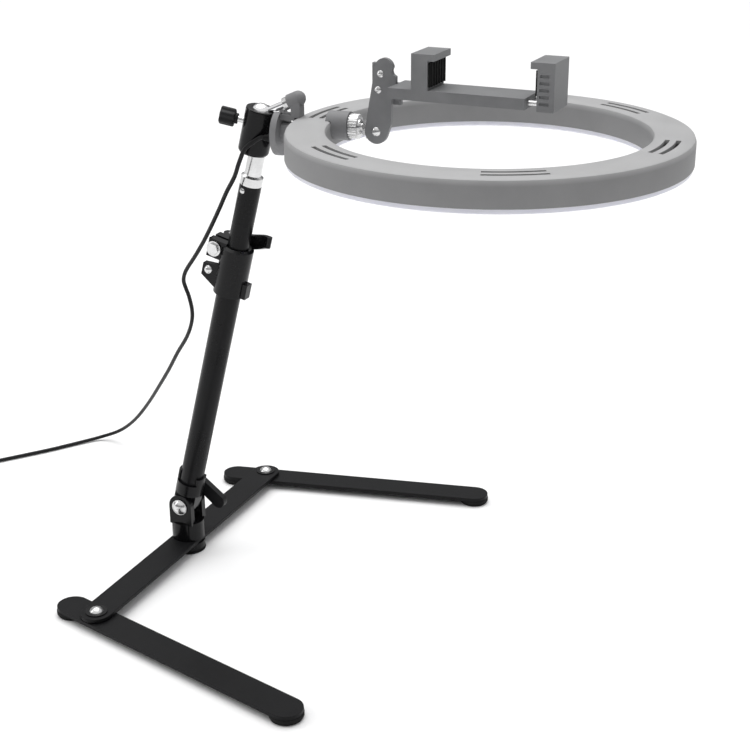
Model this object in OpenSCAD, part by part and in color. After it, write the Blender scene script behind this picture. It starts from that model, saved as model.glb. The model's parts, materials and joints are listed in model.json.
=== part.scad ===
// Desktop LED ring light on a folding flat-bar stand, with a spring-free phone clamp.
// Millimetres. Z is up, the table is z = 0, the origin is the middle of the hub pad.

/* [Ring light] */
// Outer diameter of the ring
ring_od = 260; // [240:1:270]
// Inner diameter of the ring
ring_id = 207; // [190:1:212]
// Height of the ring's back housing
ring_h = 17.2; // [15:0.1:20]
// Height of the light diffuser that shows under the housing
diffuser_h = 3.5; // [2:0.1:5]
// Number of lamps on the board
led_count = 60; // [24:1:72]

/* [Stand] */
// Distance between the two leg pivots
pivot_span = 248.2; // [230:0.2:270]
// Width of the flat bars
bar_w = 22.2; // [20:0.1:24]
// Thickness of the flat bars
bar_t = 3; // [2.5:0.1:3]
// Reach of a leg from its pivot to the tip of its toe
leg_toe = 188; // [150:1:200]
// Reach of a leg from its pivot to the end of its heel
leg_heel = 36.2; // [30:0.1:45]
// Angle that the front leg toes out
front_splay = 14; // [0:0.5:20]
// Angle that the rear leg toes out
rear_splay = 12.6; // [0:0.1:20]

/* [Post] */
// Height of the tilt hinge above the table
hinge_z = 39; // [39:0.5:41]
// Lean of the post from vertical
lean = 14.45; // [0:0.05:20]
// Radius of the outer tube
outer_r = 8.75; // [8.5:0.05:9]
// Radius of the inner tube
inner_r = 7.65; // [7.3:0.05:7.7]

/* [Phone clamp] */
// Gap between the two jaws
jaw_gap = 71.5; // [62:0.5:76]
// Width of the clamp along the phone
clamp_w = 28; // [24:1:32]

/* [Hidden] */
$fn = 64;
ro = ring_od/2; ri = ring_id/2;
leg_z0 = 7.2 - bar_t;
bar_z0 = 7.5;
bar_z1 = bar_z0 + bar_t;
ball_t = 312.4; ball_e = -3; ball_r = 7.5;
ball_x = ball_t*sin(lean) + ball_e*cos(lean);
ball_z = hinge_z + ball_t*cos(lean) - ball_e*sin(lean);
yaw = 6.65; reach = 155.5;
ring_x = ball_x + reach*cos(yaw); ring_y = reach*sin(yaw); ring_z = ball_z;
elev = 24;
piv_r = -73.6;
piv_x = ring_x + piv_r*cos(yaw); piv_y = ring_y + piv_r*sin(yaw); piv_z = ring_z - 6;
rail_x0 = 14; jaw_x0 = 41; jaw_x1 = jaw_x0 + jaw_gap;
rail_z0 = 25; rail_z1 = 32;

module in_post() translate([0,0,hinge_z]) rotate([0,lean,0]) children();
module in_ball() translate([ball_x,0,ball_z]) rotate([0,0,yaw]) rotate([0,-elev,0]) children();
module in_ring() translate([ring_x,ring_y,ring_z]) rotate([0,0,yaw]) children();
module in_holder() translate([piv_x,piv_y,piv_z]) children();
module cyl_x(r,x0,x1) translate([x0,0,0]) rotate([0,90,0]) cylinder(r=r,h=x1-x0);
module cyl_y(r,y0,y1) translate([0,y1,0]) rotate([90,0,0]) cylinder(r=r,h=y1-y0);
// flat bar with round ends, from x = a to x = b, centred on y = 0
module bar(a,b,w,t) linear_extrude(t) { translate([a+w/2,-w/2]) square([b-a-w,w]); translate([a+w/2,0]) circle(w/2); translate([b-w/2,0]) circle(w/2); }
// domed head: a cap of a sphere standing on z = 0
module dome(r,h) { R=(r*r+h*h)/(2*h); intersection(){ translate([0,0,h-R]) sphere(R); cylinder(r=r+1,h=h+1); } }

// ---- base ----
module hub_pad() color([0.10,0.10,0.11]) { cylinder(r=12.6,h=1.2); translate([0,0,1.19]) cylinder(r=12,h=0.81);}
module base_hub() color([0.16,0.16,0.17]) difference(){ translate([0,0,2]) cylinder(r=12.4,h=5.5); translate([0,0,1]) cylinder(r=6,h=3.5); cylinder(r=3.02,h=20);}
module crossbar() color([0.15,0.15,0.16]) difference(){
 translate([0,0,bar_z0]) rotate([0,0,90]) bar(-pivot_span/2-bar_w/2,pivot_span/2+bar_w/2,bar_w,bar_t);
 for(s=[-1,1]) translate([0,s*pivot_span/2,0]) cylinder(r=2.52,h=30);
 cylinder(r=3.02,h=30);}
module swivel_screw() color("silver") { translate([0,0,2.1]) cylinder(r=5.4,h=2.3); translate([0,0,4.3]) cylinder(r=3,h=24.5); }
module swivel_nut() color("silver") difference(){ translate([0,0,25.1]) cylinder(r=5,h=3.4,$fn=6); cylinder(r=3.02,h=50);}
module leg_rivets() color("silver") for(s=[-1,1]) translate([0,s*pivot_span/2,0]) {
 translate([0,0,bar_z1+0.8]) dome(4.9,2.7); translate([0,0,2.9]) cylinder(r=2.5,h=bar_z1-1.9); translate([0,0,1.8]) cylinder(r=4.2,h=leg_z0-1.85-0.05); }
module rivet_washers() color([0.08,0.08,0.09]) for(s=[-1,1]) translate([0,s*pivot_span/2,bar_z1]) difference(){ cylinder(r=7.7,h=0.8); translate([0,0,-1]) cylinder(r=2.52,h=3);}
module leg_spacers() color([0.2,0.2,0.2]) for(s=[-1,1]) translate([0,s*pivot_span/2,7.25]) difference(){ cylinder(r=8,h=0.25); translate([0,0,-1]) cylinder(r=2.52,h=3);}

// ---- legs ----
module leg_bar() difference(){ translate([0,0,leg_z0]) bar(-leg_heel,leg_toe,bar_w,bar_t); cylinder(r=2.56,h=30);}
module leg_feet() for(x=[-leg_heel+bar_w/2,leg_toe-bar_w/2]) translate([x,0,0]) { cylinder(r=bar_w/2-0.4,h=1.5); translate([0,0,1.5]) cylinder(r=bar_w/2+0.4,h=leg_z0-1.5); }
module front_leg() color([0.15,0.15,0.16]) translate([0,-pivot_span/2,0]) rotate([0,0,-front_splay]) leg_bar();
module front_leg_feet() color([0.08,0.08,0.09]) translate([0,-pivot_span/2,0]) rotate([0,0,-front_splay]) leg_feet();
module rear_leg() color([0.15,0.15,0.16]) translate([0,pivot_span/2,0]) rotate([0,0,rear_splay]) leg_bar();
module rear_leg_feet() color([0.08,0.08,0.09]) translate([0,pivot_span/2,0]) rotate([0,0,rear_splay]) leg_feet();

// ---- swivel foot and tilt hinge ----
module post_foot() color([0.12,0.12,0.13]) difference(){
 union(){ translate([0,0,bar_z1+0.05]) cylinder(r=12.4,h=14.4);
  for(s=[-1,1]) translate([0,s*8,0]) { translate([-9.5,-2.4,24]) cube([19,4.8,hinge_z-24]); translate([0,0,hinge_z]) cyl_y(9.5,-2.4,2.4);} }
 cylinder(r=3.05,h=60); translate([0,0,hinge_z]) cyl_y(3.03,-20,20); translate([-20,-5.6,24.99]) cube([40,11.2,40]);}
module hinge_bolt() color("silver") translate([0,0,hinge_z]) { translate([0,-10.45,0]) rotate([90,0,0]) { cylinder(r=6.2,h=1.1); translate([0,0,0.9]) dome(5.7,3);} cyl_y(3,-10.8,18.6);}
module tilt_lever() color([0.12,0.12,0.13]) translate([0,0,hinge_z]) difference(){
 union(){ cyl_y(4.8,10.9,18.4); hull(){ cyl_y(4.8,12,17); translate([2,0,12.5]) cyl_y(4.8,12,17);} hull(){ translate([2,0,12.5]) cyl_y(4.8,12,17); translate([20,0,-1.5]) cyl_y(5.3,12,17);} }
 cyl_y(3.06,0,30);}
module post_socket() color([0.12,0.12,0.13]) in_post() difference(){
 union(){ cyl_y(8.8,-5.45,5.45); translate([-8.8,-5.45,0]) cube([17.6,10.9,12]); translate([0,0,10.3]) cylinder(r=10.5,h=9.7);
  intersection(){ translate([0,0,19]) cylinder(r=10.5,h=10); union(){ translate([-12,-6.2,19]) cube([5,12.4,9]); translate([7,-6.2,19]) cube([5,12.4,7]); } } }
 cyl_y(3.06,-20,20); translate([0,0,12.5]) cylinder(r=outer_r+0.02,h=40);}
module outer_tube() color([0.11,0.11,0.12]) in_post() translate([0,0,12.5]) difference(){ cylinder(r=outer_r,h=199.5); translate([0,0,-1]) cylinder(r=inner_r+0.35,h=220);}

// ---- height clamp ----
module clamp_collar() color([0.08,0.08,0.09]) in_post() difference(){
 union(){ translate([0,0,180]) cylinder(r=11.4,h=34.6); translate([0,0,214.5]) cylinder(r1=11.4,r2=9.4,h=1.6);
  translate([-19.5,-7.6,204]) cube([14,15.2,13.5]);
  hull(){ translate([-20.5,-7.6,189]) cube([8,4.6,9]); translate([-9,-7.6,183]) cube([2,4.6,17]); }
  translate([8,-3.5,180.5]) cube([6.4,7,11]); translate([12.9,0,180.5]) cylinder(r=1.5,h=11); }
 translate([0,0,179]) cylinder(r=outer_r+0.02,h=33.1); translate([0,0,200]) cylinder(r=inner_r+0.06,h=30);
 translate([-30,-1.4,200]) cube([22,2.8,30]);
 translate([-14.3,0,211]) cyl_y(2.53,-20,20); translate([-15.6,0,194]) cyl_y(1.53,-20,-2);}
module clamp_bolt() color("silver") in_post() translate([-14.3,0,211]) { cyl_y(2.5,-8,12); translate([0,-7.6,0]) rotate([90,0,0]) union(){ cylinder(r=5.5,h=1.2); translate([0,0,1.19]) cylinder(r=4.4,h=1.8,$fn=6);}
 translate([0,13.8,-2.6]) difference(){ cylinder(r=3.6,h=5.2); translate([0,0,-1]) cylinder(r=1.52,h=9);} }
module clamp_screw() color("silver") in_post() translate([-15.6,0,194]) { cyl_y(1.5,-7.7,-3.2); translate([0,-7.6,0]) rotate([90,0,0]) dome(3.3,2);}
module lever_pin() color("silver") in_post() translate([-14.3,13.8,205]) cylinder(r=1.5,h=12);
module clamp_lever() color([0.10,0.10,0.11]) in_post() difference(){
 union(){ translate([-14.3,13.8,205.4]) cylinder(r=5,h=11.2);
  hull(){ translate([-12.4,14.4,206]) cylinder(r=3.4,h=10.6,$fn=32); translate([-5,16.4,207.5]) cylinder(r=2.3,h=10.5,$fn=32);}
  hull(){ translate([-5,16.4,207.5]) cylinder(r=2.3,h=10.5,$fn=32); translate([5,16.2,211.5]) cylinder(r=2.1,h=10,$fn=32);}
  hull(){ translate([5,16.2,211.5]) cylinder(r=2.1,h=10,$fn=32); translate([13,12.6,216]) cylinder(r=2,h=9.5,$fn=32);}
  hull(){ translate([13,12.6,216]) cylinder(r=2,h=9.5,$fn=32); translate([19,6.5,220.5]) cylinder(r=2,h=8,$fn=32);} }
 translate([-20.5,-1,208.2]) cube([11.2,20.8,5.6]); translate([-14.3,13.8,200]) cylinder(r=1.56,h=30);}

// ---- inner tube and spigot ----
module inner_tube() color([0.11,0.11,0.12]) in_post() difference(){ translate([0,0,104]) cylinder(r=inner_r,h=159); translate([0,0,100]) cylinder(r=inner_r-1,h=170); translate([0,0,259]) rotate([0,0,-106]) cyl_x(1.53,2,12);}
module guide_bush() color([0.7,0.7,0.68]) in_post() difference(){ translate([0,0,96]) cylinder(r=inner_r+0.29,h=8); translate([0,0,95]) cylinder(r=5,h=10);}
module spigot() color("silver") in_post() difference(){ union(){ translate([0,0,245]) cylinder(r=inner_r-1.02,h=18.1); translate([0,0,263]) cylinder(r=inner_r,h=6); translate([0,0,269]) cylinder(r1=inner_r,r2=5.75,h=1.2); translate([0,0,270]) cylinder(r=5.75,h=14.6); translate([0,0,284.5]) cylinder(r=3,h=10.5);}
 translate([0,0,259]) rotate([0,0,-106]) cyl_x(1.53,2,12);}
module spigot_screw() color("silver") in_post() translate([0,0,259]) rotate([0,0,-106]) { cyl_x(1.5,2.4,inner_r+0.1); translate([inner_r-0.25,0,0]) rotate([0,90,0]) dome(2.2,1.1);}
module pan_nut() color("silver") in_post() difference(){ translate([0,0,290.4]) cylinder(r=4.6,h=3.4,$fn=6); translate([0,0,280]) cylinder(r=3.02,h=30);}

// ---- ball head ----
module head_housing() color([0.07,0.07,0.08]) in_post() difference(){
 translate([ball_e,0,284.8]) rotate_extrude() polygon([[0,0],[8.6,0],[9.6,0.5],[10.3,1.4],[10.6,2.6],[10.6,30.6],[10.3,31.5],[9.6,31.9],[0,31.9]]);
 translate([0,0,280]) cylinder(r=3.06,h=14.5);
 translate([ball_e,0,290]) cylinder(r=7.8,h=22.4);
 translate([ball_e,0,ball_t]) sphere(7.8);
 translate([ball_e,0,ball_t]) rotate([0,0,7.6]) translate([0,-3.2,-0.5]) cube([20,6.4,12]);
 translate([ball_e,0,305.5]) rotate([0,0,200]) cyl_x(2.24,5,15);}
module ball_cup() color([0.75,0.75,0.72]) in_post() difference(){ translate([ball_e,0,295.4]) cylinder(r=7.6,h=11.6); translate([ball_e,0,ball_t]) sphere(ball_r+0.3); translate([ball_e,0,290]) cylinder(r=2,h=20); translate([ball_e,0,305.5]) rotate([0,0,200]) cyl_x(2.4,5,9);}
module knob_screw() color("silver") in_post() translate([ball_e,0,305.5]) rotate([0,0,200]) cyl_x(2.2,6.2,17.5);
module head_knob() color([0.09,0.09,0.10]) in_post() translate([ball_e,0,305.5]) rotate([0,0,200]) difference(){
 union(){ cyl_x(3.6,14.2,17); cyl_x(4.9,16,26.5); for(i=[0:5]) rotate([60*i,0,0]) translate([0,0,4.9]) cyl_x(1.7,16.5,26);}
 cyl_x(2.24,10,18);}
module ball_stud() color("silver") in_ball() { sphere(ball_r); cyl_x(2.5,5,30.5);}
module lock_nut() color("silver") in_ball() difference(){ cyl_x(4.3,18.8,22.4); cyl_x(2.52,10,30);}

// ---- ring light ----
module ring_bracket() color([0.52,0.52,0.53]) difference(){ union(){
  in_ring() translate([0,0,-11.3]) { cyl_x(15.2,-143.8,-139.5); cyl_x(7.5,-139.6,-ro-0.02); }
  in_ring() translate([-142.5,-4.6,-2]) cube([12.6,9.2,3.8]);
  in_ring() translate([-132.4,-4.6,-0.5]) cube([6.2,9.2,10.5]);
  in_ball() { cyl_x(5.2,22.6,29.4); translate([29.4,0,0]) sphere(5.2); } }
 in_ball() cyl_x(4.9,8,22.55);
 in_ball() cyl_x(2.53,10,30.7);
 in_ring() translate([0,0,-ring_h-4]) cylinder(r=ro+0.03,h=ring_h+4.01,$fn=180);
 in_ring() for(s=[-1,1]) translate([0,s*5,-11.3]) cyl_x(1.53,-147,-128);}
module bracket_screws() color("silver") in_ring() for(s=[-1,1]) translate([0,s*5,-11.3]) { cyl_x(1.5,-143.9,-ro+2); translate([-143.8,0,0]) rotate([0,-90,0]) dome(2.6,1.2); }
module ring_profile() polygon([[ri,-ring_h],[ri,-2],[ri+0.6,-0.6],[ri+2,0],[ro-3.2,0],[ro-0.9,-0.9],[ro,-3.2],[ro,-ring_h],[ro-2,-ring_h],[ro-2,-4],[ro-3.6,-2.4],[ri+3,-2.4],[ri+2,-3.4],[ri+2,-ring_h]]);
module ring_housing() color([0.70,0.70,0.71]) in_ring() difference(){ rotate_extrude($fn=180) ring_profile();
 for(a=[-9:60:350],k=[0,1]) rotate([0,0,180+a-9.5]) translate([0,0,-5]) rotate_extrude(angle=19,$fn=180) translate([111.2+7*k,0]) square([3.1,7]);
 for(s=[-1,1]) translate([0,s*5,-11.3]) cyl_x(1.53,-145,-120);
 translate([0,0,-4]) cyl_x(2.7,-ri-8,-ri+5);}
module housing_screws() color("silver") in_ring() for(a=[30:60:350]) rotate([0,0,a]) translate([ro-13,0,-2.4-9.1]) cylinder(r=1.6,h=9);
module led_board() color([0.9,0.9,0.88]) in_ring() translate([0,0,-13.1]) difference(){ cylinder(r=ro-2.3,h=1.5,$fn=180); translate([0,0,-1]) cylinder(r=ri+2.3,h=4,$fn=180);}
module leds() color([1,0.95,0.8]) in_ring() for(i=[0:led_count-1]) rotate([0,0,360/led_count*i]) translate([(ro+ri)/2-1.5,-1.5,-14.5]) cube([3,3,1.4]);
module diffuser() color([0.93,0.93,0.95]) in_ring() rotate_extrude($fn=180) polygon([[ri+0.2,-ring_h],[ri+0.6,-ring_h-diffuser_h+1],[ri+2,-ring_h-diffuser_h],[ro-2.4,-ring_h-diffuser_h],[ro-0.9,-ring_h-diffuser_h+0.8],[ro-0.2,-ring_h],[ro-2.2,-ring_h],[ro-2.6,-ring_h-1.6],[ri+2.6,-ring_h-1.6],[ri+2.2,-ring_h]]);
module cable_gland() color([0.10,0.10,0.11]) in_ring() translate([0,-11,-13]) { translate([-143.8,0,0]) rotate([0,-90,0]) union(){ cylinder(r=3.2,h=1.1); translate([0,0,1.09]) cylinder(r1=2.7,r2=1.9,h=4.6);} }

// ---- phone clamp ----
module holder_boss() color([0.45,0.45,0.46]) in_ring() difference(){ translate([0,0,-4]) union(){ cyl_x(9.4,-ri-3.5,-92.6); }
 translate([0,0,-4]) cyl_x(2.55,-112,-90);
 difference(){ translate([0,0,-ring_h-9]) cylinder(r=ro+20,h=ring_h+9.02); translate([0,0,-ring_h-10]) cylinder(r=ri-0.02,h=ring_h+11,$fn=180);} }
module thumb_nut() color("silver") in_ring() translate([0,0,-4]) difference(){ union(){ cyl_x(8.1,-92.4,-86.2); cyl_x(5,-86.3,-85.2);} cyl_x(2.55,-100,-80); for(i=[0:23]) rotate([15*i,0,0]) translate([0,0,8.4]) cyl_x(0.55,-93,-86);}
module hinge_tongue() color("silver") difference(){ union(){ in_ring() translate([0,0,-4]) cyl_x(2.5,-104.5,-83.6);
  in_holder() translate([-11.5,0.4,-4]) cube([8.2,4.6,9.4]); in_holder() translate([-3,0.4,0]) cyl_y(6,0,3.2); in_holder() translate([-9,0.4,-6]) cube([9,3.2,12]); }
 in_holder() cyl_y(1.53,-10,10);}
module hinge_plate() color([0.50,0.50,0.51]) in_holder() difference(){
 union(){ hull(){ cyl_y(8,-3.2,0); translate([5.7,0,41.5]) cyl_y(6.3,-3.2,0); translate([6,0,6]) cyl_y(4.4,-3.2,0);} hull(){ translate([6,-3.2,20]) cube([4,3.2,10]); translate([11.9,0,31]) cyl_y(2,-3.2,0); translate([11.9,0,36]) cyl_y(2,-3.2,0);} }
 cyl_y(1.56,-10,10); translate([1.4,0,27.3]) cyl_y(1.53,-10,10); translate([3.1,0,37.6]) cyl_y(1.53,-10,10); translate([14.6,0,40]) cyl_y(3.4,-10,10);}
module hinge_screw() color("silver") in_holder() { cyl_y(1.5,-3.4,4.6); translate([0,-3.2,0]) rotate([90,0,0]) dome(3.2,1.7); translate([0,3.65,0]) cyl_y(2.8,0,1.8);}
module plate_rivets() color("silver") in_holder() for(p=[[1.4,27.3],[3.1,37.6]]) translate([p[0],0,p[1]]) { cyl_y(1.5,-3.4,3.2); translate([0,-3.2,0]) rotate([90,0,0]) dome(2.5,1.2);}
module clamp_body() color([0.42,0.42,0.43]) in_holder() difference(){
 union(){ translate([-4,0.1,18]) cube([12,3.4,26]); translate([5,0.1,18]) cube([11,3.4,14]);
  translate([rail_x0,-16.4,rail_z0]) cube([jaw_x0+64-rail_x0,clamp_w,rail_z1-rail_z0]);
  translate([jaw_x0-11,-16.4,rail_z0]) cube([11,clamp_w,29]); translate([jaw_x0-11,-16.4,50.2]) cube([15.5,clamp_w,4.2]); }
 translate([1.4,0,27.3]) cyl_y(1.53,-10,10); translate([3.1,0,37.6]) cyl_y(1.53,-10,10);
 for(y=[-10,5]) translate([0,y,(rail_z0+rail_z1)/2]) cyl_x(1.56,jaw_x0+14,jaw_x0+70);}
module jaw_pad_shape() { translate([0,-15,rail_z1+2]) cube([1.4,clamp_w-2.8,15]); for(i=[0:5]) translate([0,-13.2+4.2*i,rail_z1+2]) cube([2,2,15]); }
module fixed_jaw_pad() color([0.12,0.12,0.13]) in_holder() translate([jaw_x0,0,0]) jaw_pad_shape();
module guide_rods() color("silver") in_holder() for(y=[-10,5]) translate([0,y,(rail_z0+rail_z1)/2]) cyl_x(1.5,jaw_x0+32,jaw_x1+9);
module sliding_jaw() color([0.40,0.40,0.41]) in_holder() difference(){
 union(){ translate([jaw_x1,-16.4,rail_z0-0.5]) cube([11,clamp_w,29.5]); translate([jaw_x1-4.5,-16.4,50.2]) cube([15.5,clamp_w,4.2]); }
 for(y=[-10,5]) translate([0,y,(rail_z0+rail_z1)/2]) cyl_x(1.52,jaw_x1-2,jaw_x1+9.1);
 for(i=[0:4]) translate([jaw_x1+1.6,-17,rail_z0+3.5+4.2*i]) cube([6,1.6,1.8]);}
module sliding_jaw_pad() color([0.12,0.12,0.13]) in_holder() translate([jaw_x1,0,0]) mirror([1,0,0]) jaw_pad_shape();

// ---- cable: straight out of the gland, down beside the post, along the table to the coil ----
cable_r = 1.5;
gland_tip = [ring_x + (-149.5)*cos(yaw) + 11*sin(yaw), ring_y + (-149.5)*sin(yaw) - 11*cos(yaw), ring_z - 13];
cable_pts = [gland_tip+[-0.5,-0.06,0], gland_tip+[-3,-0.8,-0.6], [71,-15,322], [65.5,-14.5,312], [60,-12,301], [51,-8,288.5], [42,-3,275], [32,3,261], [21,9,246], [9,15,231], [-3,21,217], [-8,25,208], [-8.5,28,201],
 [-8,31,193.5], [-9,36,181], [-13,41,169], [-23,49,153], [-40,61,133], [-58,75,111], [-80,93,86.5], [-106,113,58], [-133,131,31], [-157,142,12], [-176,140,3.2], [-189,124,1.7], [-204,101,1.6], [-218,82,1.6], [-230,66,1.6], [-236.6,55.5,1.6], [-240.6,43.8,1.6]];
function cr(a,b,c,d,t) = 0.5*((2*b)+(c-a)*t+(2*a-5*b+4*c-d)*t*t+(3*b-a-3*c+d)*t*t*t);
function pt(i) = cable_pts[max(0,min(len(cable_pts)-1,i))];
sub = 2;
path = concat([for(i=[0:len(cable_pts)-2],k=[0:sub-1]) let(t=k/sub) cr(pt(i-1),pt(i),pt(i+1),pt(i+2),t)],[cable_pts[len(cable_pts)-1]]);
function unit(v) = v/norm(v);
function tan_at(i) = unit(path[min(len(path)-1,i+1)]-path[max(0,i-1)]);
function side_at(i) = unit(cross(tan_at(i),[0.35,-0.2,1]));
module sweep_tube(r,n) { m=len(path);
 v=[for(i=[0:m-1]) let(T=tan_at(i),S=side_at(i),U=cross(S,T)) for(j=[0:n-1]) path[i]+r*(cos(360*j/n)*S+sin(360*j/n)*U)];
 f=concat([[for(j=[0:n-1]) j]],[for(i=[0:m-2],j=[0:n-1]) let(a=i*n+j,b=i*n+(j+1)%n) [a,a+n,b+n]],[for(i=[0:m-2],j=[0:n-1]) let(a=i*n+j,b=i*n+(j+1)%n) [a,b+n,b]],[[for(j=[n-1:-1:0]) (m-1)*n+j]]);
 polyhedron(v,[for(q=f) [for(i=[len(q)-1:-1:0]) q[i]]],convexity=8); }
coil_c = [-262,36,0];
module cable() color([0.07,0.07,0.08]) { sweep_tube(cable_r,8); translate([-264.2,13,2.8]) rotate([0,0,-175]) cyl_x(cable_r,0,11.8); }
module cable_coil() color([0.07,0.07,0.08]) translate(coil_c) rotate_extrude() translate([10.5,0]) polygon([[1,0],[11,0],[12,1],[12,11],[11,12],[1,12],[0,11],[0,1]]);
module coil_tie() color([0.15,0.15,0.16]) translate(coil_c) rotate([0,0,180]) translate([16.5,0,0]) difference(){ translate([-7.6,-3,0]) cube([14.8,6,13.2]); translate([-6.55,-4,-1]) cube([12.6,8,13.05]); }
module usb_plug() color([0.12,0.12,0.13]) translate([-276,12,0]) { translate([-16,-5.2,0]) cube([16,10.4,6]); translate([-28,-6.1,0.9]) cube([12.1,12.2,4.5]); }

hub_pad();
base_hub();
crossbar();
swivel_screw();
swivel_nut();
leg_rivets();
rivet_washers();
leg_spacers();
front_leg();
front_leg_feet();
rear_leg();
rear_leg_feet();
post_foot();
hinge_bolt();
tilt_lever();
post_socket();
outer_tube();
clamp_collar();
clamp_bolt();
clamp_screw();
lever_pin();
clamp_lever();
inner_tube();
guide_bush();
spigot();
spigot_screw();
pan_nut();
head_housing();
ball_cup();
knob_screw();
head_knob();
ball_stud();
lock_nut();
ring_bracket();
bracket_screws();
ring_housing();
housing_screws();
led_board();
leds();
diffuser();
cable_gland();
holder_boss();
thumb_nut();
hinge_tongue();
hinge_plate();
hinge_screw();
plate_rivets();
clamp_body();
fixed_jaw_pad();
guide_rods();
sliding_jaw();
sliding_jaw_pad();
cable();
cable_coil();
coil_tie();
usb_plug();
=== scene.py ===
import bpy, bmesh, math, json
from mathutils import Vector, Matrix


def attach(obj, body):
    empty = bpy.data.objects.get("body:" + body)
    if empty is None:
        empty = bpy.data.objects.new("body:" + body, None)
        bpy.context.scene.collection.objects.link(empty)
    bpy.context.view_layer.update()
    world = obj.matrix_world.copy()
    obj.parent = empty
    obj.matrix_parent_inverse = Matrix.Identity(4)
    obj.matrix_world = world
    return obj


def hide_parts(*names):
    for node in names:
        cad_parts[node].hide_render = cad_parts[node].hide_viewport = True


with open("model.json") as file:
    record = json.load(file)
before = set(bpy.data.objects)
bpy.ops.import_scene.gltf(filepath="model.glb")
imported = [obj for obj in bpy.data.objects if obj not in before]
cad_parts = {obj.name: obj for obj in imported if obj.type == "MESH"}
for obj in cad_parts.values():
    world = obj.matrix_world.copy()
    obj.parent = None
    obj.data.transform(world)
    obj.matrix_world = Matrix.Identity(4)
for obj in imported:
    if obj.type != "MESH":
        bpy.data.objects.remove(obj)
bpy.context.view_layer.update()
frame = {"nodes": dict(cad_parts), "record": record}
NODES = frame["nodes"]
NODE_BODY = {n: b for b, ns in frame["record"]["behaviour"]["bodies"].items() for n in ns}
SC = bpy.context.scene
rad = math.radians

# ------------------------------------------------------------------ frame numbers (mm, as in the design)
LEAN, HZ, BT, BE, YAW, REACH, ELEV = rad(14.45), 39.0, 312.4, -3.0, rad(6.65), 155.5, rad(24)
P_AX = Vector((math.sin(LEAN), 0, math.cos(LEAN)))
def post(x, y, t):
    return Vector((t * math.sin(LEAN) + x * math.cos(LEAN), y, HZ + t * math.cos(LEAN) - x * math.sin(LEAN))) / 1000
BALL = post(BE, 0, BT) * 1000
RING = BALL + Vector((REACH * math.cos(YAW), REACH * math.sin(YAW), 0))
def ring(x, y, z):
    return Vector((RING.x + x * math.cos(YAW) - y * math.sin(YAW), RING.y + x * math.sin(YAW) + y * math.cos(YAW), RING.z + z)) / 1000
M_POST = Matrix.Translation((0, 0, HZ / 1000)) @ Matrix.Rotation(LEAN, 4, "Y")
M_RING = Matrix.Translation(RING / 1000) @ Matrix.Rotation(YAW, 4, "Z")
M_BALL = Matrix.Translation(BALL / 1000) @ Matrix.Rotation(YAW, 4, "Z") @ Matrix.Rotation(-ELEV, 4, "Y")
PIV = ring(-73.6, 0, -6)
M_HOLD = Matrix.Translation(PIV)

# ------------------------------------------------------------------ camera
yw, pt, rl = rad(114.471), rad(21.881), rad(-0.217)
fwd = Vector((math.cos(yw) * math.cos(pt), math.sin(yw) * math.cos(pt), -math.sin(pt)))
right = Vector((math.sin(yw), -math.cos(yw), 0))
up = right.cross(fwd)
r2 = math.cos(rl) * right + math.sin(rl) * up
u2 = -math.sin(rl) * right + math.cos(rl) * up
cam_d = bpy.data.cameras.new("camera")
cam_d.sensor_width, cam_d.lens = 36.0, 70.055
cam_d.clip_start, cam_d.clip_end = 0.01, 100
cam = bpy.data.objects.new("camera", cam_d)
SC.collection.objects.link(cam)
cm = Matrix.Identity(4)
for i in range(3):
    cm[i][0], cm[i][1], cm[i][2] = r2[i], u2[i], -fwd[i]
cm[0][3], cm[1][3], cm[2][3] = 0.54403, -0.84838, 0.54297
cam.matrix_world = cm
SC.camera = cam

# ------------------------------------------------------------------ materials
def new_mat(name):
    m = bpy.data.materials.new(name)
    m.use_nodes = True
    nt = m.node_tree
    nt.nodes.clear()
    out = nt.nodes.new("ShaderNodeOutputMaterial")
    b = nt.nodes.new("ShaderNodeBsdfPrincipled")
    nt.links.new(b.outputs["BSDF"], out.inputs["Surface"])
    tc = nt.nodes.new("ShaderNodeTexCoord")
    return m, nt, b, tc

def noise(nt, tc, scale, detail=3.0, rough=0.6, stretch=None):
    n = nt.nodes.new("ShaderNodeTexNoise")
    n.inputs["Scale"].default_value = scale
    n.inputs["Detail"].default_value = detail
    n.inputs["Roughness"].default_value = rough
    if stretch:
        mp = nt.nodes.new("ShaderNodeMapping")
        mp.inputs["Scale"].default_value = stretch
        nt.links.new(tc.outputs["Object"], mp.inputs["Vector"])
        nt.links.new(mp.outputs["Vector"], n.inputs["Vector"])
    else:
        nt.links.new(tc.outputs["Object"], n.inputs["Vector"])
    return n

def ramp(nt, fac, stops):
    r = nt.nodes.new("ShaderNodeValToRGB")
    e = r.color_ramp.elements
    e[0].position, e[0].color = stops[0][0], (*stops[0][1], 1)
    e[1].position, e[1].color = stops[-1][0], (*stops[-1][1], 1)
    for p, c in stops[1:-1]:
        x = e.new(p); x.color = (*c, 1)
    nt.links.new(fac, r.inputs["Fac"])
    return r

def maprange(nt, fac, a, b, lo, hi):
    r = nt.nodes.new("ShaderNodeMapRange")
    r.inputs["From Min"].default_value, r.inputs["From Max"].default_value = a, b
    r.inputs["To Min"].default_value, r.inputs["To Max"].default_value = lo, hi
    nt.links.new(fac, r.inputs["Value"])
    return r

def bump(nt, b, heights, dist):
    prev = None
    for h, strength in heights:
        n = nt.nodes.new("ShaderNodeBump")
        n.inputs["Strength"].default_value = strength
        n.inputs["Distance"].default_value = dist
        nt.links.new(h, n.inputs["Height"])
        if prev:
            nt.links.new(prev.outputs["Normal"], n.inputs["Normal"])
        prev = n
    nt.links.new(prev.outputs["Normal"], b.inputs["Normal"])

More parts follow.
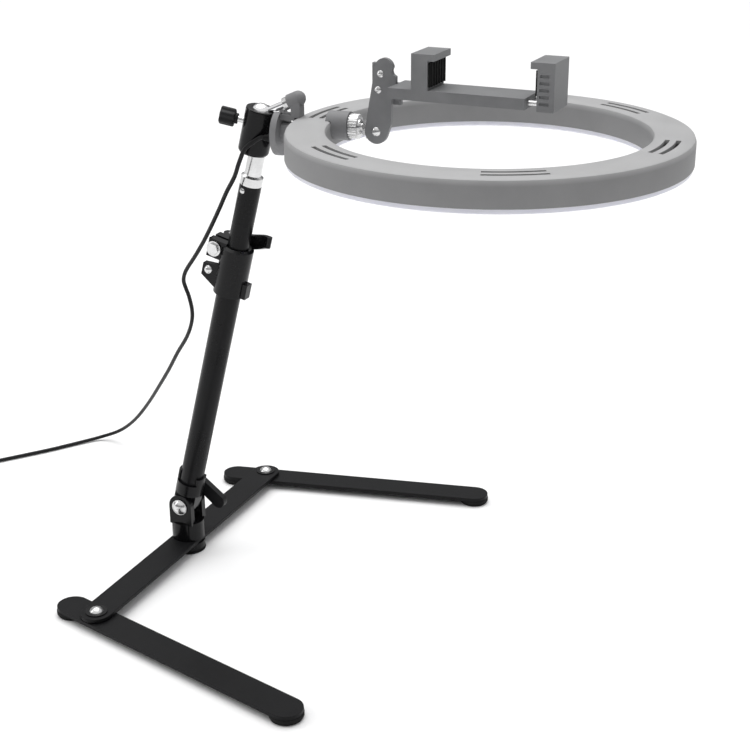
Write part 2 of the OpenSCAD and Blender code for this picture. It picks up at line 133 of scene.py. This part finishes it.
def coat(name, dark, light, r0, r1, grain=1800, gstr=0.25, big=45, clear=0.0, spec=0.5, metallic=0.0, sheen=0.0):
    m, nt, b, tc = new_mat(name)
    n1 = noise(nt, tc, big, 4, 0.6)
    n2 = noise(nt, tc, grain, 2, 0.5)
    c = ramp(nt, n1.outputs["Fac"], [(0.3, dark), (0.7, light)])
    nt.links.new(c.outputs["Color"], b.inputs["Base Color"])
    rr = maprange(nt, n1.outputs["Fac"], 0.3, 0.7, r0, r1)
    nt.links.new(rr.outputs["Result"], b.inputs["Roughness"])
    bump(nt, b, [(n2.outputs["Fac"], gstr)], 0.0002)
    b.inputs["Coat Weight"].default_value = clear
    b.inputs["Coat Roughness"].default_value = 0.12
    b.inputs["Specular IOR Level"].default_value = spec
    b.inputs["Metallic"].default_value = metallic
    b.inputs["Sheen Weight"].default_value = sheen
    return m

def metal(name, dark, light, r0, r1, stretch=(1, 1, 1), scale=900, bstr=0.12, aniso=0.0):
    m, nt, b, tc = new_mat(name)
    n1 = noise(nt, tc, 120, 4, 0.6)
    n2 = noise(nt, tc, scale, 3, 0.6, stretch)
    c = ramp(nt, n1.outputs["Fac"], [(0.3, dark), (0.7, light)])
    nt.links.new(c.outputs["Color"], b.inputs["Base Color"])
    rr = maprange(nt, n2.outputs["Fac"], 0.3, 0.7, r0, r1)
    nt.links.new(rr.outputs["Result"], b.inputs["Roughness"])
    bump(nt, b, [(n2.outputs["Fac"], bstr)], 0.00005)
    b.inputs["Metallic"].default_value = 1.0
    b.inputs["Anisotropic"].default_value = aniso
    return m

MAT = {}
MAT["bar_paint"] = coat("bar_paint", (0.0062, 0.0062, 0.0068), (0.0100, 0.0100, 0.0108), 0.40, 0.54, grain=2600, gstr=0.35, spec=0.13)
MAT["tube_paint"] = coat("tube_paint", (0.0045, 0.0045, 0.005), (0.0072, 0.0072, 0.008), 0.24, 0.34, grain=3200, gstr=0.12, spec=0.16)
MAT["black_plastic"] = coat("black_plastic", (0.004, 0.004, 0.0045), (0.0065, 0.0065, 0.0072), 0.18, 0.28, grain=2200, gstr=0.06, clear=0.05, spec=0.18)
MAT["knob_plastic"] = coat("knob_plastic", (0.007, 0.007, 0.008), (0.012, 0.012, 0.013), 0.42, 0.55, grain=2400, gstr=0.3, spec=0.25)
MAT["rubber"] = coat("rubber", (0.006, 0.006, 0.006), (0.011, 0.011, 0.011), 0.7, 0.85, grain=1500, gstr=0.5, spec=0.2)
MAT["ring_grey"] = None
MAT["bracket_grey"] = coat("bracket_grey", (0.185, 0.185, 0.19), (0.225, 0.225, 0.23), 0.48, 0.6, grain=1800, gstr=0.25, spec=0.35)
MAT["clamp_grey"] = coat("clamp_grey", (0.17, 0.172, 0.177), (0.21, 0.212, 0.217), 0.42, 0.55, grain=1800, gstr=0.25, spec=0.35)
MAT["nylon"] = coat("nylon", (0.55, 0.55, 0.52), (0.62, 0.62, 0.59), 0.4, 0.5, grain=900, gstr=0.1)
MAT["cable_black"] = coat("cable_black", (0.005, 0.005, 0.0055), (0.009, 0.009, 0.0095), 0.38, 0.5, grain=1500, gstr=0.18, spec=0.22)
MAT["steel"] = metal("steel", (0.60, 0.60, 0.60), (0.74, 0.74, 0.74), 0.18, 0.32, (1, 1, 14), 500, 0.15, 0.3)
MAT["chrome"] = metal("chrome", (0.82, 0.82, 0.83), (0.90, 0.90, 0.91), 0.035, 0.09, (1, 1, 1), 300, 0.02)
MAT["board"] = coat("board", (0.80, 0.80, 0.77), (0.86, 0.86, 0.83), 0.35, 0.45, grain=700, gstr=0.1)
MAT["lamp"] = coat("lamp", (0.85, 0.70, 0.30), (0.95, 0.82, 0.45), 0.2, 0.3, grain=3000, gstr=0.15)

# ring shell: painted light and shade by height on the part itself, a paler painted-lit top over a darker painted-shade
# flank, standing in for overhead light on a one-colour shell
m, nt, b, tc = new_mat("ring_grey")
sx = nt.nodes.new("ShaderNodeSeparateXYZ")
nt.links.new(tc.outputs["Object"], sx.inputs["Vector"])
zt = RING.z / 1000
# painted light mask: 0 on the flank, rising to 1 at the top face, by height
painted_light_by_height = maprange(nt, sx.outputs["Z"], zt - 0.0042, zt - 0.0004, 0.0, 1.0)
n1 = noise(nt, tc, 38, 4, 0.6)
n2 = noise(nt, tc, 2400, 2, 0.5)
# painted shade on the flank, painted highlight on the top face: lit and shaded copies of one grey
painted_shade_flank = ramp(nt, n1.outputs["Fac"], [(0.3, (0.225, 0.225, 0.228)), (0.7, (0.25, 0.25, 0.253))])
painted_lit_top = ramp(nt, n1.outputs["Fac"], [(0.3, (0.365, 0.365, 0.368)), (0.7, (0.395, 0.395, 0.398))])
mx = nt.nodes.new("ShaderNodeMix"); mx.data_type = "RGBA"
nt.links.new(painted_light_by_height.outputs["Result"], mx.inputs["Factor"])
nt.links.new(painted_shade_flank.outputs["Color"], mx.inputs[6]); nt.links.new(painted_lit_top.outputs["Color"], mx.inputs[7])
nt.links.new(mx.outputs[2], b.inputs["Base Color"])
rr = maprange(nt, n1.outputs["Fac"], 0.3, 0.7, 0.5, 0.62)
nt.links.new(rr.outputs["Result"], b.inputs["Roughness"])
bump(nt, b, [(n2.outputs["Fac"], 0.22)], 0.0002)
b.inputs["Specular IOR Level"].default_value = 0.4
MAT["ring_grey"] = m

# diffuser: milky plastic with a fine prismatic grain
m, nt, b, tc = new_mat("diffuser")
n1 = noise(nt, tc, 60, 3, 0.5)
n2 = noise(nt, tc, 1800, 2, 0.5)
c = ramp(nt, n1.outputs["Fac"], [(0.3, (0.60, 0.60, 0.67)), (0.7, (0.66, 0.66, 0.73))])
nt.links.new(c.outputs["Color"], b.inputs["Base Color"])
rr = maprange(nt, n1.outputs["Fac"], 0.3, 0.7, 0.3, 0.42)
nt.links.new(rr.outputs["Result"], b.inputs["Roughness"])
bump(nt, b, [(n2.outputs["Fac"], 0.3)], 0.0002)
b.inputs["Subsurface Weight"].default_value = 0.35
b.inputs["Subsurface Radius"].default_value = (0.004, 0.004, 0.005)
b.inputs["Subsurface Scale"].default_value = 1.0
b.inputs["Emission Color"].default_value = (0.86, 0.86, 1.0, 1)
b.inputs["Emission Strength"].default_value = 0.03
MAT["diffuser"] = m
SLOT = {r["node"]: r["material_slot"] for r in frame["record"]["subparts"]}

def paint(o, mat):
    o.data.materials.clear()
    o.data.materials.append(mat)

for n, o in NODES.items():
    for i in range(max(1, len(o.material_slots))):
        if len(o.material_slots) == 0:
            o.data.materials.append(MAT[SLOT[n]])
        else:
            o.material_slots[i].material = MAT[SLOT[n]]

# ------------------------------------------------------------------ the cable: one length from the ring's strain relief to the plug
tip = ring(-149.5, -11, -13) * 1000
ROUTE = [tuple(tip), (tip.x - 3, tip.y - 0.8, tip.z - 0.6), (71, -15, 322), (65.5, -14.5, 312), (60, -12, 301), (51, -8, 288.5),
 (42, -3, 275), (32, 3, 261), (21, 9, 246), (9, 15, 231), (-3, 21, 217), (-8, 25, 208), (-8.5, 28, 201), (-8, 31, 193.5),
 (-9, 36, 181), (-13, 41, 169), (-23, 49, 153), (-40, 61, 133), (-58, 75, 111), (-80, 93, 86.5), (-106, 113, 58),
 (-133, 131, 31), (-157, 142, 12), (-176, 140, 3.2), (-189, 124, 1.7), (-204, 101, 1.6), (-218, 82, 1.6), (-230, 66, 1.6),
 (-236.6, 55.5, 1.6), (-240.6, 43.8, 1.6)]
COIL = (-262.0, 36.0)
def lerp(a, b, t): return a + (b - a) * t
def smooth(t): t = max(0.0, min(1.0, t)); return t * t * (3 - 2 * t)
PITCH = 3.05
def coil_rz(u):
    if u < 2.75: return 21.2 - PITCH * u, 1.6
    if u < 3.0: return 21.2 - PITCH * 2.75, lerp(1.6, 4.6, smooth((u - 2.75) / 0.25))
    if u < 5.75: return 21.2 - PITCH * (5.75 - u), 4.6
    if u < 6.0: return 21.2, lerp(4.6, 7.6, smooth((u - 5.75) / 0.25))
    if u < 7.75: return 21.2 - PITCH * (u - 6.0), 7.6
    if u < 8.0: return 21.2 - PITCH * 1.75, lerp(7.6, 10.6, smooth((u - 7.75) / 0.25))
    if u < 9.7: return 21.2 - PITCH * 1.75 + PITCH * 1.75 * (u - 8.0) / 1.7, 10.6
    t = (u - 9.7) / (10.264 - 9.7)
    if t < 0.45:
        f = smooth(t / 0.45) * math.pi / 2
        return 21.2 + 3.1 * math.sin(f), 7.5 + 3.1 * math.cos(f)
    return 24.3, lerp(7.5, 2.9, smooth((t - 0.45) / 0.55))
ctrl = [Vector(p) for p in ROUTE]
u, end = 0.0, 10.264
while u < end:
    r, z = coil_rz(u)
    a = -2 * math.pi * u
    ctrl.append(Vector((COIL[0] + r * math.cos(a), COIL[1] + r * math.sin(a), z)))
    u += 1 / 20
ctrl += [Vector((-264.2, 11.9, 2.95)), Vector((-270, 11.95, 3.0)), Vector((-275, 12, 3.0)), Vector((-278.5, 12, 3.0))]
def catmull(p, sub):
    out = []
    for i in range(len(p) - 1):
        a, b_, c_, d = p[max(0, i - 1)], p[i], p[i + 1], p[min(len(p) - 1, i + 2)]
        for k in range(sub):
            t = k / sub
            out.append(0.5 * ((2 * b_) + (c_ - a) * t + (2 * a - 5 * b_ + 4 * c_ - d) * t * t + (3 * b_ - a - 3 * c_ + d) * t ** 3))
    out.append(p[-1])
    return out
path = [v / 1000 for v in catmull(ctrl, 4)]
cu = bpy.data.curves.new("cable_lead", "CURVE")
cu.dimensions, cu.bevel_depth, cu.bevel_resolution, cu.use_fill_caps = "3D", 0.0015, 4, True
sp = cu.splines.new("POLY")
sp.points.add(len(path) - 1)
for q, v in zip(sp.points, path):
    q.co = (*v, 1)
sp.use_smooth = True
lead = bpy.data.objects.new("cable_lead", cu)
SC.collection.objects.link(lead)
cu.materials.append(MAT["cable_black"])

# ------------------------------------------------------------------ mesh helpers
def finish_mesh(name, bm, mat, body, nodes=(), bev=0.0, seg=3, angle=32, matrix=None):
    me = bpy.data.meshes.new(name)
    bmesh.ops.recalc_face_normals(bm, faces=bm.faces[:])
    bm.to_mesh(me); bm.free()
    if matrix is not None:
        me.transform(matrix)
    o = bpy.data.objects.new(name, me)
    SC.collection.objects.link(o)
    me.polygons.foreach_set("use_smooth", [True] * len(me.polygons))
    if isinstance(mat, (list, tuple)):
        for x in mat: me.materials.append(x)
    else:
        me.materials.append(mat)
    if bev:
        b_ = o.modifiers.new("edge", "BEVEL")
        b_.width, b_.segments, b_.limit_method, b_.angle_limit = bev, seg, "ANGLE", rad(angle)
        b_.use_clamp_overlap = True
        b_.miter_outer = "MITER_ARC"
        w = o.modifiers.new("normals", "WEIGHTED_NORMAL")
        w.keep_sharp = True
    else:
        mark_sharp(me, angle)
    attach(o, body)
    if nodes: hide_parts(*nodes)
    return o

def mark_sharp(me, angle):
    bm = bmesh.new(); bm.from_mesh(me)
    for e in bm.edges:
        if len(e.link_faces) == 2 and e.calc_face_angle(0) > rad(angle):
            e.smooth = False
    bm.to_mesh(me); bm.free()

def refine(node, bev, seg=3, angle=32, name=None, mat=None):
    src = NODES[node].data
    bm = bmesh.new(); bm.from_mesh(src)
    bmesh.ops.remove_doubles(bm, verts=bm.verts[:], dist=2e-6)
    bmesh.ops.dissolve_limit(bm, angle_limit=rad(0.6), verts=bm.verts[:], edges=bm.edges[:])
    o = finish_mesh(name or node + "_piece", bm, mat or MAT[SLOT[node]], NODE_BODY[node], (node,), bev / 1000, seg, angle, None)
    return o

def lathe(profile, n=64, closed=True, a0=0.0):
    """profile: (r, z) in mm, revolved about z"""
    bm = bmesh.new()
    rows = []
    for r, z in profile:
        if r < 1e-6:
            rows.append([bm.verts.new((0, 0, z / 1000))])
        else:
            rows.append([bm.verts.new((r / 1000 * math.cos(a0 + 2 * math.pi * i / n), r / 1000 * math.sin(a0 + 2 * math.pi * i / n), z / 1000)) for i in range(n)])
    m_ = len(rows)
    for k in range(m_ if closed else m_ - 1):
        A, B = rows[k], rows[(k + 1) % m_]
        for i in range(n):
            j = (i + 1) % n
            if len(A) == 1 and len(B) == 1: continue
            if len(A) == 1: bm.faces.new((A[0], B[i], B[j]))
            elif len(B) == 1: bm.faces.new((A[i], B[0], A[j]))
            else: bm.faces.new((A[i], B[i], B[j], A[j]))
    return bm

# ------------------------------------------------------------------ refined copies of the CAD pieces, with real edge radii
BEV = dict(crossbar=0.45, front_leg=0.45, rear_leg=0.45, front_leg_feet=0.5, rear_leg_feet=0.5, base_hub=0.4, hub_pad=0.25,
 post_foot=0.8, tilt_lever=0.7, post_socket=0.7, outer_tube=0.2, clamp_collar=0.7, clamp_lever=0.6, inner_tube=0.15,
 spigot=0.3, head_housing=0.35, thumb_nut=0.3, hinge_tongue=0.35, hinge_plate=0.45, clamp_body=0.8, fixed_jaw_pad=0.25,
 sliding_jaw=0.8, sliding_jaw_pad=0.25, ring_bracket=0.5, holder_boss=0.5, hinge_screw=0.12, plate_rivets=0.12, bracket_screws=0.12,
 clamp_bolt=0.3, clamp_screw=0.12, leg_rivets=0.2, swivel_screw=0.3, hinge_bolt=0.25, lever_pin=0.15, lock_nut=0.25, knob_screw=0.15, spigot_screw=0.1,
 rivet_washers=0.12, leg_spacers=0.0, ring_housing=0.0, diffuser=0.0, ball_stud=0.0)
PIECES = {}
for n, w in BEV.items():
    PIECES[n] = refine(n, w)

# ------------------------------------------------------------------ strain relief, plug and tie
prof = [(0, -0.4), (3.2, -0.4), (3.2, 0.7), (2.9, 1.1)]
z = 1.25
for i in range(4):
    r0 = 2.65 - 0.2 * i
    prof += [(r0, z), (r0, z + 0.55), (r0 - 0.4, z + 0.65), (r0 - 0.4, z + 0.85)]
    z += 1.0
prof += [(1.85, z), (1.8, 5.5), (1.6, 5.7), (0, 5.7)]
relief = finish_mesh("strain_relief", lathe(prof, 40, False), MAT["cable_black"], "ring", ("cable_gland",), 0.0, 2, 40,
                     M_RING @ Matrix.Translation((-0.1438, -0.011, -0.013)) @ Matrix.Rotation(rad(-90), 4, "Y"))

def box_mesh(bm, x0, y0, z0, x1, y1, z1, mi=0):
    vs = [bm.verts.new((x / 1000, y / 1000, z / 1000)) for x in (x0, x1) for y in (y0, y1) for z in (z0, z1)]
    for f in ((0, 1, 3, 2), (4, 6, 7, 5), (0, 4, 5, 1), (2, 3, 7, 6), (0, 2, 6, 4), (1, 5, 7, 3)):
        fc = bm.faces.new([vs[i] for i in f]); fc.material_index = mi
bm = bmesh.new()
box_mesh(bm, -292, 6.8, 0.05, -278, 17.2, 6)
box_mesh(bm, -279, 8.2, 0.9, -276, 15.8, 5.2)
for i in range(4):
    box_mesh(bm, -290.5 + 2.4 * i, 6.55, 0.9, -289.3 + 2.4 * i, 17.45, 5.2)
plug = finish_mesh("usb_plug_moulding", bm, MAT["black_plastic"], "base", ("usb_plug",), 0.0006, 3, 32, None)
bm = bmesh.new()
x0, x1, y0, y1, z0, z1, th = -304, -291.9, 5.95, 18.05, 0.95, 5.4, 0.35
box_mesh(bm, x0, y0, z0, x1, y1, z0 + th); box_mesh(bm, x0, y0, z1 - th, x1, y1, z1)
box_mesh(bm, x0, y0, z0 + th, x1, y0 + th, z1 - th); box_mesh(bm, x0, y1 - th, z0 + th, x1, y1, z1 - th)
bmesh.ops.remove_doubles(bm, verts=bm.verts[:], dist=1e-6)
shell = finish_mesh("usb_plug_shell", bm, MAT["steel"], "base", (), 0.0, 2, 32, None)
bm = bmesh.new()
box_mesh(bm, -303.4, y0 + 0.4, z1 - th - 1.95, -292, y1 - 0.4, z1 - th - 0.05)
tongue = finish_mesh("usb_plug_tongue", bm, MAT["nylon"], "base", (), 0.0001, 2, 32, None)
bm = bmesh.new()
# the tie: a soft strap round the turns, as a closed band
N = 40
outer, inner = [], []
def sup(a, w, h, e=4.5):
    c_, s_ = math.cos(a), math.sin(a)
    k = (abs(c_ / w) ** e + abs(s_ / h) ** e) ** (-1 / e)
    return c_ * k, s_ * k
rows = []
for yy in (-2.8, -1.4, 0, 1.4, 2.8):
    ro_, ri_ = [], []
    for i in range(N):
        a = 2 * math.pi * i / N
        bulge = 0.12 if abs(yy) < 2 else 0.0
        ox, oz = sup(a, 7.0 + bulge, 6.45 + bulge); ix, iz = sup(a, 6.35, 5.95)
        ro_.append(bm.verts.new((ox / 1000, yy / 1000, (6.62 + oz) / 1000)))
        ri_.append(bm.verts.new((ix / 1000, yy / 1000, (6.3 + iz) / 1000)))
    rows.append((ro_, ri_))
for k in range(len(rows) - 1):
    for i in range(N):
        j = (i + 1) % N
        bm.faces.new((rows[k][0][i], rows[k][0][j], rows[k + 1][0][j], rows[k + 1][0][i]))
        bm.faces.new((rows[k][1][i], rows[k + 1][1][i], rows[k + 1][1][j], rows[k][1][j]))
for (A, B) in (rows[0], rows[-1]):
    for i in range(N):
        j = (i + 1) % N
        bm.faces.new((A[i], B[i], B[j], A[j]))
tie = finish_mesh("coil_strap", bm, MAT["knob_plastic"], "base", ("coil_tie",), 0.0, 2, 50,
                  Matrix.Translation((COIL[0] / 1000, COIL[1] / 1000, 0)) @ Matrix.Rotation(math.pi, 4, "Z") @ Matrix.Translation((0.0165, 0, 0)))

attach(lead, "base"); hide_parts("cable", "cable_coil")

# ------------------------------------------------------------------ six-lobed head knob
def knob():
    bm = bmesh.new()
    n = 96
    secs = [(14.2, 3.4, 0), (14.4, 3.6, 0), (16.0, 3.6, 0), (16.2, 5.4, 0.5), (16.6, 6.0, 0.9), (17.2, 6.25, 1.0), (25.4, 6.25, 1.0), (26.1, 6.0, 0.9), (26.45, 5.4, 0.7), (26.5, 4.2, 0.3), (26.2, 3.4, 0.0), (26.2, 0, 0)]
    rows = []
    for x, r, k in secs:
        if r == 0:
            rows.append([bm.verts.new((x / 1000, 0, 0))]); continue
        row = []
        for i in range(n):
            a = 2 * math.pi * i / n
            rr_ = r - k * 1.15 * (0.5 - 0.5 * math.cos(6 * a)) ** 1.5
            row.append(bm.verts.new((x / 1000, rr_ / 1000 * math.sin(a), rr_ / 1000 * math.cos(a))))
        rows.append(row)
    first = bm.verts.new((14.2 / 1000, 0, 0))
    for i in range(n): bm.faces.new((first, rows[0][i], rows[0][(i + 1) % n]))
    for k in range(len(rows) - 1):
        A, B = rows[k], rows[k + 1]
        for i in range(n):
            j = (i + 1) % n
            if len(B) == 1: bm.faces.new((A[i], B[0], A[j]))
            else: bm.faces.new((A[i], B[i], B[j], A[j]))
    return bm
finish_mesh("head_knob_grip", knob(), MAT["knob_plastic"], "head_knob", ("head_knob",), 0.0, 2, 50,
            M_POST @ Matrix.Translation((BE / 1000, 0, 0.3055)) @ Matrix.Rotation(rad(200), 4, "Z"))

# ------------------------------------------------------------------ floor, light
m, nt, b, tc = new_mat("floor")
n1 = noise(nt, tc, 3, 2, 0.5)
c = ramp(nt, n1.outputs["Fac"], [(0.3, (0.90, 0.90, 0.90)), (0.7, (0.915, 0.915, 0.915))])
nt.links.new(c.outputs["Color"], b.inputs["Base Color"])
b.inputs["Roughness"].default_value = 0.9
b.inputs["Specular IOR Level"].default_value = 0.1
bm = bmesh.new()
bmesh.ops.create_grid(bm, x_segments=4, y_segments=4, size=20)
me = bpy.data.meshes.new("floor"); bm.to_mesh(me); bm.free()
floor = bpy.data.objects.new("floor", me); me.materials.append(m)
floor.location = (0, 0, -0.0002)
SC.collection.objects.link(floor)

def area(name, loc, target, size, power, size_y=None):
    d = bpy.data.lights.new(name, "AREA")
    d.shape = "RECTANGLE"; d.size = size; d.size_y = size_y or size; d.energy = power
    o = bpy.data.objects.new(name, d)
    o.location = loc
    o.rotation_mode = "QUATERNION"
    o.rotation_quaternion = (Vector(target) - Vector(loc)).to_track_quat("-Z", "Y")
    SC.collection.objects.link(o)
    return o
T = (0.1, 0, 0.15)
area("key", (0.1, 0.6, 2.2), T, 1.3, 9)
area("left", (-1.3, -0.6, 0.8), T, 0.35, 4, 1.0)
sun = bpy.data.lights.new("overhead", "SUN")
sun.energy, sun.angle = 1.25, rad(60)
so = bpy.data.objects.new("overhead", sun)
so.rotation_euler = (rad(-14), rad(-8), 0)
SC.collection.objects.link(so)
w = bpy.data.worlds.new("studio"); SC.world = w
w.use_nodes = True
bg = w.node_tree.nodes["Background"]
wt = w.node_tree
wc = wt.nodes.new("ShaderNodeTexCoord")
ws = wt.nodes.new("ShaderNodeSeparateXYZ")
wt.links.new(wc.outputs["Generated"], ws.inputs["Vector"])
wr = ramp(wt, ws.outputs["Z"], [(0.0, (0.16, 0.16, 0.165)), (0.30, (0.24, 0.24, 0.245)), (0.55, (1.0, 1.0, 1.0)), (1.0, (1.15, 1.15, 1.15))])
wl = wt.nodes.new("ShaderNodeLightPath")
wm = wt.nodes.new("ShaderNodeMix"); wm.data_type = "RGBA"
wt.links.new(wl.outputs["Is Camera Ray"], wm.inputs[0])
wt.links.new(wr.outputs["Color"], wm.inputs[6])
wm.inputs[7].default_value = (1.25, 1.25, 1.25, 1)
wt.links.new(wm.outputs[2], bg.inputs["Color"])
bg.inputs["Strength"].default_value = 0.80
SC.view_settings.view_transform = "Standard"
SC.view_settings.look = "None"
